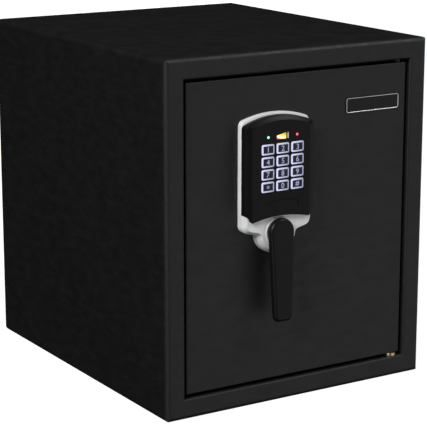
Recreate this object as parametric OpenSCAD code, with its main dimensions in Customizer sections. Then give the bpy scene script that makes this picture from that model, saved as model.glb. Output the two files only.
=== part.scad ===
// Floor safe with an insulated body, a stepped plug door on concealed pivot hinges, a lit keypad
// and a lever handle that drives the locking bolts. X runs right, Y runs back, Z runs up.
// The origin is the centre of the flat base. Sizes are in millimetres.

/* [Cabinet] */
// Overall width of the cabinet
body_w = 350; // [346:1:360]
// Overall depth of the cabinet from the front rim to the back panel
body_d = 411; // [391:5:451]
// Overall height of the cabinet
body_h = 403; // [400:1:420]
// Rounding of the cabinet's outer edges
edge_r = 6; // [4:0.5:8]
// Thickness of the painted sheet steel
sheet = 1.5; // [1.2:0.1:1.8]
// Width of the front rim beside the door
rim_side = 24; // [22:0.5:25]
// Height of the front rim above and below the door
rim_end = 24; // [22:0.5:25]
// Thickness of the insulated walls round the cavity
wall = 48; // [46:1:50]
// Rounding of the rim's inner edge
mouth_r = 3; // [2:0.5:4]

/* [Door] */
// Gap between the door and the rim
gap = 3.5; // [3:0.1:4]
// How far the door's face sits behind the rim
recess = 3.5; // [3:0.1:4]
// How far the insulated plug is stepped in from the door's edge
plug_step = 22.5; // [22:0.5:24]
// Clearance between the plug and the jamb beside it
plug_gap = 6.5; // [6:0.25:7]

/* [Lock] */
// Sideways position of the keypad and handle
lock_x = -36.5; // [-40:0.5:-30]
// Height of the handle's pivot
pivot_z = 202; // [196:1:208]
// Travel of the locking bolts
bolt_travel = 18; // [12:0.5:18]
// Turn of the handle that drives the bolts, in degrees
handle_turn = 75; // [60:1:75]
// Lean of the lever away from the door, in degrees
lever_lean = 2.3; // [0:0.1:3]
// Radius of the locking bolts
bolt_r = 7.5; // [6:0.5:8]

/* [Keypad] */
// Distance between key columns
key_dx = 19.4; // [18.5:0.1:19.8]
// Distance between key rows
key_dz = 13.9; // [13:0.1:14.2]
// Width of a key
key_w = 16.3; // [14:0.1:16.8]
// Height of a key
key_h = 11.5; // [10:0.1:12]

/* [Fixing] */
// Sideways distance between the bolt-down holes in the base
floor_dx = 170; // [140:10:200]
// Front to back distance between the bolt-down holes in the base
floor_dy = 200; // [160:10:240]
// Radius of the bolt-down holes
floor_r = 6; // [5:0.5:7]

/* [Hidden] */
$fn = 64;
front = [0, -body_d / 2, 0];
mid_z = body_h / 2;
open_w = body_w - 2 * rim_side;
open_h = body_h - 2 * rim_end;
step_y = 24;
jamb = 2;
jamb_end = 66;
door_w = open_w - 2 * gap;
door_h = open_h - 2 * gap;
skin_y = recess + sheet;
pan_y = recess + 14.5;
ring_y = pan_y + sheet;
plug_w = door_w - 2 * plug_step;
plug_h = door_h - 2 * plug_step + 7.5;
plug_y = 56;
screw_r = 1.6;
screw_y0 = 47;
hole_w = plug_w + 2 * plug_gap;
hole_h = plug_h + 6;
cover_y = 58;
cover_points = [for (x = [-1, 0, 1], z = [-1, 1])
    [x * (plug_w / 2 - 10), mid_z + z * (plug_h / 2 - 10)]];
tub = 2;
cave_w = body_w - 2 * wall;
cave_h = body_h - 2 * wall;
cave_y0 = jamb_end;
cave_y1 = body_d - wall;
liner = 2;
cave_r = 8;
hinge_x = door_w / 2 - 8.5;
hinge_y = 10;
pin_r = 4;
door_z0 = mid_z - door_h / 2;
door_z1 = mid_z + door_h / 2;
open_z0 = mid_z - open_h / 2;
open_z1 = mid_z + open_h / 2;
plate_t = 4;
base_y0 = 34;
base_y1 = 36;
bolt_y = 47;
bolt_zs = [pivot_z - 92, pivot_z, pivot_z + 92];
flange_x = -101.5;
web_y0 = 38.5;
web_y1 = 41.5;
cam_y0 = 43;
cam_y1 = 46;
cam_r0 = 22;
cam_pin_r = 3;
post_x = -92;
post_zs = [pivot_z - 72, pivot_z + 72];
plunger_x = -80;
plunger_y = 42;
web_top = pivot_z + 112;
web_bottom = pivot_z - 112;
plunger_z0 = web_top + 2;
collar_z = plunger_z0 + 4.6;
coil_z0 = plunger_z0 + 14;
shaft_r = 6;
key_x0 = lock_x + 1.3;
key_z0 = pivot_z + 53.4;
key_face = -16.2;
face_y = -15;
lamp_x = key_x0 + 0.4;
lamp_z = pivot_z + 108.4;
foot_r = 147;
shelf_z = 212;
black = [0.09, 0.09, 0.1];
dark = [0.2, 0.2, 0.21];
steel = [0.62, 0.63, 0.65];
silver = [0.72, 0.73, 0.74];
rubber = [0.13, 0.13, 0.13];
fill = [0.78, 0.76, 0.7];

// A flat shape drawn in X and Z, standing from depth y0 to depth y1
module slab(y0, y1) {
    translate([0, y1, 0]) rotate([90, 0, 0]) linear_extrude(y1 - y0) children();
}

// A round bar along Y
module bar_y(x, z, r, y0, y1) {
    translate([x, y1, z]) rotate([90, 0, 0]) cylinder(r = r, h = y1 - y0);
}

// A round bar along X
module bar_x(y, z, r, x0, x1) {
    translate([x0, y, z]) rotate([0, 90, 0]) cylinder(r = r, h = x1 - x0);
}

// A box given by its two corners
module box(a, b) {
    translate(a) cube(b - a);
}

// A rectangle with round corners about the origin
module round_rect(w, h, r) {
    square([w, h - 2 * r], center = true);
    square([w - 2 * r, h], center = true);
    for (x = [-1, 1], z = [-1, 1])
        translate([x * (w / 2 - r), z * (h / 2 - r)]) circle(r);
}

// A round-cornered rectangle about the cabinet's mid height
module framed(w, h, r) {
    translate([0, mid_z]) round_rect(w, h, r);
}

// The plan of a block whose two front corners are round
module front_plan(w, d, r) {
    translate([-w / 2, r]) square([w, d - r]);
    translate([-w / 2 + r, 0]) square([w - 2 * r, r + 1]);
    for (x = [-1, 1]) translate([x * (w / 2 - r), r]) circle(r);
}

// A block whose front edges and long edges are round
module soft_block(w, d, h, r) {
    intersection() {
        slab(0, d) round_rect(w, h, r);
        translate([0, 0, -h]) linear_extrude(2 * h) front_plan(w, d, r);
        rotate([90, 0, 90]) translate([0, 0, -w]) linear_extrude(2 * w)
            mirror([1, -1, 0]) front_plan(h, d, r);
    }
}

// The plan of an opening that flares at its mouth
module mouth_plan(w, r, y0, y1) {
    translate([-w / 2, y0]) square([w, y1 - y0]);
    difference() {
        translate([-w / 2 - r, y0]) square([w + 2 * r, r - y0]);
        for (x = [-1, 1]) translate([x * (w / 2 + r), r]) circle(r);
    }
}

// An opening through the rim, flared on all four sides
module mouth(w, h, r, y0, y1) {
    translate([0, 0, mid_z]) intersection() {
        translate([0, 0, -h]) linear_extrude(2 * h) mouth_plan(w, r, y0, y1);
        rotate([90, 0, 90]) translate([0, 0, -w]) linear_extrude(2 * w)
            mirror([1, -1, 0]) mouth_plan(h, r, y0, y1);
    }
}

// The four bolt-down holes, from below the base up into the cavity
module floor_holes() {
    for (x = [-1, 1], y = [-1, 1])
        translate([x * floor_dx / 2, body_d / 2 + y * floor_dy / 2, -1])
            cylinder(r = floor_r, h = wall + 10);
}

// The door's two pivot holes
module pivot_holes(r) {
    translate([hinge_x, hinge_y, open_z0 - 14]) cylinder(r = r, h = 30);
    translate([hinge_x, hinge_y, open_z1 - 16]) cylinder(r = r, h = 30);
}

// ---- cabinet ----

module outer_shell() {
    color(black) translate(front) difference() {
        union() {
            difference() {
                translate([0, 0, mid_z]) soft_block(body_w, body_d, body_h, edge_r);
                translate([0, sheet, mid_z])
                    soft_block(body_w - 2 * sheet, body_d, body_h - 2 * sheet, edge_r - sheet);
            }
            mouth(open_w + 2 * sheet, open_h + 2 * sheet, mouth_r - sheet, 0, step_y);
        }
        mouth(open_w, open_h, mouth_r, -1, step_y + 1);
        floor_holes();
        pivot_holes(pin_r);
    }
}

module back_panel() {
    color(black) translate(front) slab(body_d - sheet, body_d)
        framed(body_w - 2 * sheet, body_h - 2 * sheet, edge_r - sheet);
}

// The frame the plug door shuts into: a ledge, the walls beside the plug and a step to the liner
module jamb_frame() {
    color(dark) translate(front) difference() {
        union() {
            slab(step_y, step_y + jamb) framed(open_w + 16, open_h + 12, 4);
            slab(step_y, jamb_end) framed(hole_w + 2 * jamb, hole_h + 2 * jamb, cave_r + jamb);
        }
        slab(step_y - 1, jamb_end - jamb) framed(hole_w, hole_h, cave_r);
        slab(step_y - 1, jamb_end + 1) framed(cave_w, cave_h, cave_r);
        box([-hole_w / 2 - 5, bolt_y - 14, web_bottom - 2], [-hole_w / 2 + 5, bolt_y + 14, web_top + 2]);
        for (z = [bolt_zs[0], bolt_zs[2]]) bar_x(bolt_y, z, 8.5, hole_w / 2 - 1, hole_w / 2 + 5);
    }
}

module cabinet_insulation() {
    color(fill) translate(front) difference() {
        translate([0, sheet, mid_z])
            soft_block(body_w - 2 * sheet, body_d - 2 * sheet, body_h - 2 * sheet, edge_r - sheet);
        mouth(open_w + 2 * sheet, open_h + 2 * sheet, mouth_r - sheet, 0, step_y);
        slab(step_y - 1, step_y + jamb) framed(open_w + 16, open_h + 12, 4);
        slab(step_y, jamb_end) framed(hole_w + 2 * jamb, hole_h + 2 * jamb, cave_r + jamb);
        slab(jamb_end - 1, cave_y1 + liner)
            framed(cave_w + 2 * liner, cave_h + 2 * liner, cave_r + liner);
        strike_block();
        for (z = [bolt_zs[0], bolt_zs[2]]) bar_x(bolt_y, z, 8.5, hole_w / 2, hole_w / 2 + 8);
        for (s = [-1, 1]) bracket_block(s);
        floor_holes();
    }
}

module inner_liner() {
    color(dark) translate(front) difference() {
        slab(cave_y0, cave_y1 + liner)
            framed(cave_w + 2 * liner, cave_h + 2 * liner, cave_r + liner);
        slab(cave_y0 - 1, cave_y1) framed(cave_w, cave_h, cave_r);
        floor_holes();
    }
}

module strike_plate() {
    color(steel) translate(front) difference() {
        box([-hole_w / 2 - jamb, bolt_y - 14, web_bottom - 2], [-hole_w / 2, bolt_y + 14, web_top + 2]);
        for (z = bolt_zs) bar_x(bolt_y, z, bolt_r + 1, -hole_w / 2 - 5, -hole_w / 2 + 5);
    }
}

// The room the strike box takes in the insulation
module strike_block() {
    box([-hole_w / 2 - jamb - 18, bolt_y - 13, web_bottom], [-hole_w / 2 - jamb, bolt_y + 13, web_top]);
}

module strike_box() {
    color(steel) translate(front) difference() {
        strike_block();
        box([-hole_w / 2 - jamb - 16.5, bolt_y - 11.5, web_bottom + 1.5],
            [-hole_w / 2, bolt_y + 11.5, web_top - 1.5]);
    }
}

// One hinge bracket's block, above (s = 1) or below (s = -1) the opening
module bracket_block(s) {
    translate([0, 0, mid_z + s * (open_h / 2 + sheet + 6)])
        translate([hinge_x, (step_y + sheet + mouth_r) / 2, 0])
            cube([24, step_y - sheet - mouth_r, 12], center = true);
}

module hinge_brackets() {
    color(steel) translate(front) difference() {
        for (s = [-1, 1]) bracket_block(s);
        pivot_holes(pin_r);
    }
}

module hinge_pins() {
    color(steel) translate(front) for (s = [-1, 1])
        translate([hinge_x, hinge_y, mid_z + s * (open_h / 2 - 1)])
            cylinder(r = pin_r, h = 27, center = true);
}

module hinge_washer() {
    color([0.75, 0.62, 0.35]) translate(front) translate([hinge_x, hinge_y, open_z0])
        difference() {
            cylinder(r = 7.5, h = gap - 0.1);
            translate([0, 0, -1]) cylinder(r = pin_r, h = gap + 2);
        }
}

// Two angle rails on the liner's side walls
module shelf_rails() {
    color(dark) translate(front) for (s = [-1, 1]) scale([s, 1, 1]) {
        box([cave_w / 2 - 12, cave_y0 + 14, shelf_z - 10], [cave_w / 2, cave_y1 - 12, shelf_z - 7]);
        box([cave_w / 2 - 2, cave_y0 + 14, shelf_z - 22], [cave_w / 2, cave_y1 - 12, shelf_z - 9]);
    }
}

// A tray shelf with a low front lip and stiffening ribs below
module shelf() {
    color(dark) translate(front) {
        box([-cave_w / 2 + 2, cave_y0 + 12, shelf_z - 7], [cave_w / 2 - 2, cave_y1 - 4, shelf_z - 3]);
        box([-cave_w / 2 + 14, cave_y0 + 8, shelf_z - 17], [cave_w / 2 - 14, cave_y0 + 12, shelf_z]);
        for (x = [-70, 0, 70])
            box([x - 1.5, cave_y0 + 11, shelf_z - 14], [x + 1.5, cave_y1 - 8, shelf_z - 6]);
    }
}

// ---- door ----

module door_panel() {
    color(black) translate(front) difference() {
        translate([0, recess, mid_z]) soft_block(door_w, pan_y - recess, door_h, 1.6);
        slab(skin_y, pan_y + 1) framed(door_w - 2 * sheet, door_h - 2 * sheet, 0.5);
        bar_y(lock_x, pivot_z, 8, recess - 1, skin_y + 1);
        bar_y(lock_x, pivot_z + 88, 7, recess - 1, skin_y + 1);
        tray_room(recess - 1, skin_y + 1);
        pivot_holes(pin_r + 0.5);
    }
}

module door_insulation() {
    color(fill) translate(front) difference() {
        union() {
            slab(skin_y, pan_y) framed(door_w - 2 * sheet, door_h - 2 * sheet, 0.5);
            slab(pan_y, base_y0) framed(plug_w - 2 * tub, plug_h - 2 * tub, 4);
        }
        bar_y(lock_x, pivot_z, 8, 0, 60);
        bar_y(lock_x, pivot_z + 88, 7, 0, 60);
        tray_room(0, 13);
        for (s = [-1, 1]) hinge_plate_block(s);
        pivot_holes(pin_r + 1);
    }
}

// The inner pan of the door: a ring that closes the panel and a tub for the plug
module door_liner() {
    color(dark) translate(front) difference() {
        union() {
            slab(pan_y, ring_y) framed(door_w, door_h, 2);
            slab(pan_y, plug_y) framed(plug_w, plug_h, 6);
        }
        slab(pan_y - 1, plug_y + 1) framed(plug_w - 2 * tub, plug_h - 2 * tub, 4);
        for (z = bolt_zs) bar_x(bolt_y, z, bolt_r + 0.3, -plug_w / 2 - 1, -plug_w / 2 + 5);
        for (z = [bolt_zs[0], bolt_zs[2]]) bar_x(bolt_y, z, 6, plug_w / 2 - 5, plug_w / 2 + 1);
    }
}

module door_gasket() {
    color(rubber) translate(front) slab(ring_y, step_y - 0.1) difference() {
        framed(hole_w + 12, hole_h + 12, cave_r + 6);
        framed(hole_w + 2, hole_h + 2, cave_r + 1);
    }
}

// The room one hinge plate takes inside the door
module hinge_plate_block(s) {
    z = s > 0 ? door_z1 - sheet - plate_t : door_z0 + sheet;
    box([hinge_x - 16, skin_y, z], [door_w / 2 - sheet, pan_y, z + plate_t]);
}

module hinge_plates() {
    color(steel) translate(front) difference() {
        for (s = [-1, 1]) hinge_plate_block(s);
        pivot_holes(pin_r + 0.06);
    }
}

// A blank plate with a raised border
module nameplate() {
    color([0.5, 0.5, 0.52]) translate(front) translate([100, 0, pivot_z + 130]) {
        slab(recess - 0.8, recess) round_rect(74, 17.3, 3);
        slab(recess - 1.2, recess - 0.8) difference() {
            round_rect(74, 17.3, 3);
            round_rect(71.6, 14.9, 1.8);
        }
    }
}

// Outline shared by the bezel and the housing: flat sides, corners of radius c and an arched top
module arched(half_w, z0, z_top, r, c) {
    arc_z = z_top - r;
    corner_z = arc_z + sqrt(pow(r - c, 2) - pow(half_w - c, 2));
    arc_w = (half_w - c) * r / (r - c);
    translate([lock_x, pivot_z]) {
        translate([-half_w, z0]) square([2 * half_w, corner_z - z0]);
        for (s = [-1, 1]) translate([s * (half_w - c), corner_z]) circle(c);
        intersection() {
            translate([-arc_w, z0]) square([2 * arc_w, z_top - z0]);
            translate([0, arc_z]) circle(r, $fn = 180);
        }
    }
}

// Outline of the bezel, taken in by d: sloping shoulders and a round lobe under the arched plate
module bezel_outline(d) {
    arched(45.5 - d, 10, 133.2 - d, 128 - d, 7 - d);
    translate([lock_x, pivot_z]) {
        for (s = [-1, 1]) translate([s * 36, 10]) circle(9.5 - d);
        polygon([[-36, 10], [-38.4, 0.8 + d], [-20, -3.8 + d], [20, -3.8 + d], [38.4, 0.8 + d], [36, 10]]);
        circle(25.4 - d);
    }
}

module keypad_bezel() {
    color(silver) translate(front) difference() {
        union() {
            slab(-4.5, recess) bezel_outline(0);
            intersection() {
                union() {
                    slab(-7.5, -4) bezel_outline(0.8);
                    slab(-9.5, -7.5) bezel_outline(1.8);
                    slab(-11, -9.5) bezel_outline(2.8);
                }
                slab(-12, 0) housing_foot(0.2, -40);
            }
        }
        slab(-5, recess - 1.5) arched(41, 27, 127, 100, 5);
        bar_y(lock_x, pivot_z, 10, -20, 10);
        bar_y(lock_x, pivot_z + 88, 7, -20, 10);
        tray_room(-20, 10);
    }
}

// The region below the housing's lower edge, down to z_low: arched, with steps up at the sides
module housing_foot(drop, z_low) {
    translate([lock_x, pivot_z - drop]) {
        translate([-60, z_low]) square([120, 14.2 - z_low]);
        intersection() {
            translate([0, 19.4 - foot_r]) circle(foot_r, $fn = 180);
            translate([-40, 13]) square([80, 8]);
        }
        for (s = [-1, 1]) scale([s, 1])
            polygon([[37.4, 13], [39.2, 16.5], [40.6, 20.4], [45.4, 23.2], [60, 23.2], [60, 13]]);
    }
}

// Outline of the housing, from its foot (t = 0) up the bevel to its face (t = 1)
module housing_outline(t) {
    difference() {
        arched(45 - 7 * t, 10, 130.4 - 4.2 * t, 103, 5 - 1.5 * t);
        housing_foot(0, 0);
    }
}

module keypad_housing() {
    color(black) translate(front) difference() {
        union() {
            slab(-11.8, -4.5) housing_outline(0);
            slab(-13.5, -11.8) housing_outline(0.4);
            slab(face_y, -13.5) housing_outline(0.9);
        }
        slab(-12.4, -4) arched(37, 22, 122, 100, 4);
        for (c = [0:2], r = [0:3]) key_shape(c, r, 0.3, -17, -11);
        for (s = [-1, 1]) bar_y(lamp_x + s * 19, lamp_z, 1.4, -17, -11);
        translate([lamp_x, 0, lamp_z]) slab(-17, -11) round_rect(17, 8, 1);
        cover_shape(0.25, -17, -11);
    }
}

// The shape of one key, grown by g
module key_shape(c, r, g, y0, y1) {
    translate([key_x0 + (c - 1) * key_dx, 0, key_z0 + (3 - r) * key_dz])
        slab(y0, y1) round_rect(key_w + 2 * g, key_h + 2 * g, 1.8 + g);
}

// A key cap on the stem that presses its switch
module key(c, r) {
    color([0.25, 0.27, 0.4]) translate(front) {
        key_shape(c, r, 0, key_face, -11);
        bar_y(key_x0 + (c - 1) * key_dx, key_z0 + (3 - r) * key_dz, 1.5, -11.5, -9.2);
    }
}

module key_mat() {
    color([0.75, 0.78, 0.85]) translate(front) difference() {
        translate([key_x0, 0, key_z0 + 1.5 * key_dz]) slab(-9, -8) round_rect(66, 57, 2);
        for (c = [0:2], r = [0:3])
            bar_y(key_x0 + (c - 1) * key_dx, key_z0 + (3 - r) * key_dz, 2.5, -12, -6);
    }
}

// The circuit board behind the keys with a switch under each key
module keypad_board() {
    color([0.1, 0.35, 0.2]) translate(front) {
        translate([key_x0, 0, key_z0 + 1.5 * key_dz + 5.3]) slab(-6.4, -4.8) round_rect(70, 66, 2);
        for (c = [0:2], r = [0:3])
            bar_y(key_x0 + (c - 1) * key_dx, key_z0 + (3 - r) * key_dz, 1.8, -7.5, -6.4);
    }
}

module lamp(s) {
    bar_y(lamp_x + s * 19, lamp_z, 1.4, -15.3, -6.4);
    translate([lamp_x + s * 19, -15.3, lamp_z]) scale([1, 0.5, 1]) sphere(1.4);
}

module green_led() {
    color([0.3, 0.9, 0.75]) translate(front) lamp(-1);
}

module red_led() {
    color([0.95, 0.2, 0.3]) translate(front) lamp(1);
}

// The level window: a clear pane with a rising wedge and an end bar behind it
module level_window() {
    color([0.95, 0.75, 0.3]) translate(front) translate([lamp_x, 0, lamp_z]) {
        slab(-13.4, -12.4) round_rect(17, 8, 1);
        slab(-14.2, -13.4) polygon([[-8, -3.6], [5.6, -3.6], [5.6, 3.2], [-8, -0.6]]);
        slab(-14.2, -13.4) translate([6.5, -3.6]) square([1.4, 7.2]);
    }
}

// The room the battery tray takes
module tray_room(y0, y1) {
    box([lock_x - 27, y0, pivot_z + 22], [lock_x + 27, y1, pivot_z + 45.4]);
}

module battery_tray() {
    color(dark) translate(front) difference() {
        tray_room(-11.8, 13);
        box([lock_x - 26, -13, pivot_z + 23], [lock_x + 26, 11.4, pivot_z + 44.4]);
    }
}

// Four cells, two high and two deep, each with its raised end
module batteries() {
    color([0.35, 0.36, 0.4]) translate(front) for (y = [-5.7, 5.7], z = [28.2, 39.2])
        translate([0, y + 0.2, pivot_z + z]) {
            bar_x(0, 0, 5.2, lock_x - 22.4, lock_x + 21.4);
            bar_x(0, 0, 1.9, lock_x + 21.3, lock_x + 22.4);
        }
}

module battery_contacts() {
    color(steel) translate(front) for (s = [-1, 1], z = [28.2, 39.2])
        translate([lock_x + s * 24.2, 0.2, pivot_z + z]) {
            translate([s * 1.5, 0, 0]) cube([0.6, 18, 8], center = true);
            for (y = [-5.7, 5.7]) bar_x(y, 0, 2.5, s > 0 ? -1.8 : -1.3, s > 0 ? 1.3 : 1.8);
        }
}

// The lift-off cover's outline, with an arched lower edge, shrunk by nothing or grown by g
module cover_shape(g, y0, y1) {
    slab(y0, y1) difference() {
        translate([lock_x - 29 - g, pivot_z + 10]) square([58 + 2 * g, 35.8 + g]);
        housing_foot(g - 1.6, 0);
    }
}

// The battery cover: a flat lid with an arch-topped thumb recess and two side snaps
module battery_cover() {
    color(black) translate(front) difference() {
        union() {
            cover_shape(0, face_y, -13.4);
            box([lock_x - 26, -13.5, pivot_z + 24.5], [lock_x + 26, -12, pivot_z + 43]);
        }
        slab(face_y - 1, face_y + 0.9) intersection() {
            translate([lock_x, pivot_z]) {
                translate([-20, 10]) square([40, 24]);
                intersection() {
                    translate([-20, 10]) square([40, 40]);
                    translate([0, 39.5 - 34]) circle(34, $fn = 120);
                }
            }
            translate([lock_x - 30, pivot_z + 10]) square([60, 40]);
        }
    }
}

module handle_collar() {
    color([0.85, 0.85, 0.86]) translate(front) difference() {
        bar_y(lock_x, pivot_z, 17.8, -12.4, -11);
        bar_y(lock_x, pivot_z, 15.2, -13, -10);
    }
}

module spindle_bushing() {
    color([0.75, 0.62, 0.35]) translate(front) difference() {
        union() {
            bar_y(lock_x, pivot_z, 8, recess, 38);
            bar_y(lock_x, pivot_z, 11, base_y1, 38);
        }
        bar_y(lock_x, pivot_z, shaft_r + 0.06, 0, 50);
    }
}

// The plate behind the insulation, with welded posts that hold the door's inner cover
module lock_base_plate() {
    color(steel) translate(front) difference() {
        union() {
            slab(base_y0, base_y1) framed(plug_w - 2 * tub, plug_h - 2 * tub, 4);
            for (p = cover_points) bar_y(p[0], p[1], 4, base_y1 - 1, plug_y);
        }
        bar_y(lock_x, pivot_z, 8, 30, 40);
        bar_y(lock_x, pivot_z + 88, 7, 30, 40);
        for (p = cover_points) bar_y(p[0], p[1], screw_r, screw_y0, plug_y + 1);
    }
}

module guide_posts() {
    color(steel) translate(front) for (z = post_zs) {
        bar_y(post_x, z, 4, base_y1, 43);
        bar_y(post_x, z, 7, base_y1, 38.2);
        bar_y(post_x, z, 6.5, 41.8, 43.6);
    }
}

module solenoid_body() {
    color([0.3, 0.3, 0.33]) translate(front) difference() {
        union() {
            box([plunger_x - 11, base_y1, coil_z0], [plunger_x + 11, 53, coil_z0 + 24]);
            box([plunger_x - 17, base_y1, coil_z0], [plunger_x + 17, 38, coil_z0 + 24]);
        }
        translate([plunger_x, plunger_y, coil_z0 - 1]) cylinder(r = 3.06, h = 19);
    }
}

module door_cover() {
    color(dark) translate(front) difference() {
        slab(plug_y, cover_y) framed(plug_w, plug_h, 6);
        for (p = cover_points) bar_y(p[0], p[1], screw_r, plug_y - 1, cover_y + 1);
    }
}

// Six cross-slot screws, one in each corner and one midway along the top and the bottom
module cover_screws() {
    color(steel) translate(front) for (p = cover_points)
        translate([p[0], 0, p[1]]) {
            bar_y(0, 0, screw_r, screw_y0, cover_y);
            difference() {
                bar_y(0, 0, 3.2, cover_y, cover_y + 1.6);
                translate([0, cover_y + 1.3, 0]) cube([4, 1.4, 0.9], center = true);
                translate([0, cover_y + 1.3, 0]) cube([0.9, 1.4, 4], center = true);
            }
        }
}

// The cable from the keypad board through the door and across to the solenoid
module keypad_cable() {
    color([0.5, 0.5, 0.55]) translate(front) {
        bar_y(lock_x, pivot_z + 88, 2, -4.8, base_y1 + 4);
        translate([lock_x, base_y1 + 2, pivot_z + 86]) cylinder(r = 2, h = 50);
        bar_x(base_y1 + 2, pivot_z + 134, 2, plunger_x + 17, lock_x + 1.5);
    }
}

module fixed_bolts() {
    color(steel) translate(front) for (z = [bolt_zs[0], bolt_zs[2]])
        bar_x(bolt_y, z, 6, plug_w / 2 - 16, plug_w / 2 + 11);
}

// ---- handle and boltwork ----

// Outline of the lever about its pivot, taken in by d: a round head and a tapered arm
module lever_outline(d) {
    circle(16 - d);
    polygon([[-16 + d, 0], [16 - d, 0], [12.2 - d, -94.4], [5.2, -101.4 + d], [-5.2, -101.4 + d],
        [-12.2 + d, -94.4]]);
    for (s = [-1, 1]) translate([s * 5.2, -94.4]) circle(7 - d);
}

// The lever: an arm that leans out from the door on a straight hub
module handle_lever() {
    color(black) translate(front) difference() {
        union() {
            translate([lock_x, 0, pivot_z]) rotate([-lever_lean, 0, 0]) {
                slab(-17.6, -13.4) lever_outline(0);
                slab(-19.4, -17.6) lever_outline(0.7);
                slab(-20.4, -19.4) lever_outline(2);
            }
            bar_y(lock_x, pivot_z, 9.7, -14.5, 2.5);
        }
        bar_y(lock_x, pivot_z, shaft_r, -10, 5);
    }
}

module spindle() {
    color(steel) translate(front) bar_y(lock_x, pivot_z, shaft_r, -10, 51.5);
}

// Point on the cam slot's centre line, a radians of handle turn from rest
function slot_point(a) = let (r = cam_r0 + bolt_travel * a / handle_turn)
    [-r * cos(a), -r * sin(a)];

// Direction of the cam slot's centre line at turn a
function slot_way(a) = let (t = slot_point(a + 0.5) - slot_point(a - 0.5)) t / norm(t);

// A point at distance w from the slot's centre line at turn a, q degrees round from its left
function beside(a, w, q) = let (t = slot_way(a))
    slot_point(a) + w * (cos(q) * [-t[1], t[0]] + sin(q) * t);

// A round-ended band of half width w along the cam slot, from turn a0 to turn a1
module slot_band(w, a0, a1) {
    n = 28;
    polygon(concat(
        [for (i = [0:n]) beside(a0 + (a1 - a0) * i / n, w, 0)],
        [for (q = [15:15:165]) beside(a1, w, q)],
        [for (i = [n:-1:0]) beside(a0 + (a1 - a0) * i / n, w, 180)],
        [for (q = [195:15:345]) beside(a0, w, q)]
    ));
}

module lock_cam() {
    color(steel) translate(front) difference() {
        union() {
            slab(cam_y0, cam_y1) translate([lock_x, pivot_z]) {
                circle(14);
                slot_band(9, -2, handle_turn + 2);
                polygon([[0, 0], slot_point(-4), slot_point(15), slot_point(30), slot_point(45),
                    slot_point(60), slot_point(handle_turn + 4)]);
            }
            bar_y(lock_x, pivot_z, 11, cam_y1, 49);
        }
        slab(cam_y0 - 1, cam_y1 + 1) translate([lock_x, pivot_z])
            slot_band(cam_pin_r + 0.25, -1.5, handle_turn + 1.5);
        bar_y(lock_x, pivot_z, shaft_r, 40, 52);
    }
}

module spindle_clip() {
    color([0.3, 0.3, 0.3]) translate(front) difference() {
        bar_y(lock_x, pivot_z, 9, 49, 50.2);
        bar_y(lock_x, pivot_z, shaft_r, 48, 52);
        box([lock_x - 1.5, 48, pivot_z - 12], [lock_x + 1.5, 52, pivot_z - 3]);
    }
}

// The plate that carries the bolts, slotted for its guide posts and notched for the plunger
module bolt_carrier() {
    color(steel) translate(front) difference() {
        union() {
            box([flange_x, web_y0, web_bottom], [-66, web_y1, web_top]);
            box([flange_x, web_y0, pivot_z + 92], [-52, web_y1, web_top]);
            box([flange_x - 2.5, web_y0, web_bottom], [flange_x, 55, web_top]);
            box([-70, web_y0, pivot_z - 9], [lock_x - cam_r0 + 6, web_y1, pivot_z + 9]);
        }
        for (z = post_zs) {
            box([post_x, 30, z - 4.3], [post_x + bolt_travel, 50, z + 4.3]);
            bar_y(post_x, z, 4.3, 30, 50);
            bar_y(post_x + bolt_travel, z, 4.3, 30, 50);
        }
        for (x = [0, bolt_travel])
            box([plunger_x + x - 3.6, 30, web_top - 7], [plunger_x + x + 3.6, 50, web_top + 1]);
        for (z = bolt_zs) bar_x(bolt_y, z, 3, flange_x - 5, flange_x + 5);
    }
}

module locking_bolts() {
    color(silver) translate(front) for (z = bolt_zs) {
        difference() {
            bar_x(bolt_y, z, bolt_r, -plug_w / 2 + 0.5, flange_x - 2.5);
            translate([-plug_w / 2 + 0.5, bolt_y, z]) rotate([0, 90, 0]) difference() {
                cylinder(r = bolt_r + 1, h = 1.2);
                cylinder(r1 = bolt_r - 1.2, r2 = bolt_r, h = 1.2);
            }
        }
        bar_x(bolt_y, z, 3, flange_x - 2.6, flange_x + 0.1);
        bar_x(bolt_y, z, 4.5, flange_x, flange_x + 3);
    }
}

module carrier_pin() {
    color(steel) translate(front) bar_y(lock_x - cam_r0, pivot_z, cam_pin_r, web_y1, 47.5);
}

module solenoid_plunger() {
    color(silver) translate(front) translate([plunger_x, plunger_y, 0]) {
        translate([0, 0, plunger_z0]) cylinder(r = 3, h = 28);
        translate([0, 0, collar_z]) cylinder(r = 5, h = 1.5);
    }
}

// The spring that pushes the plunger out, between its collar and the coil
module plunger_spring() {
    color(steel) translate(front) translate([plunger_x, plunger_y, collar_z + 1.5])
        linear_extrude(coil_z0 - collar_z - 1.5, twist = -360 * 4, slices = 64, $fn = 16)
            difference() {
                circle(4.5, $fn = 16);
                circle(3.6, $fn = 16);
                translate([-6, -12]) square(12);
            }
}

module key_1() { key(0, 0); }
module key_2() { key(1, 0); }
module key_3() { key(2, 0); }
module key_4() { key(0, 1); }
module key_5() { key(1, 1); }
module key_6() { key(2, 1); }
module key_7() { key(0, 2); }
module key_8() { key(1, 2); }
module key_9() { key(2, 2); }
module key_star() { key(0, 3); }
module key_0() { key(1, 3); }
module key_hash() { key(2, 3); }

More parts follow.
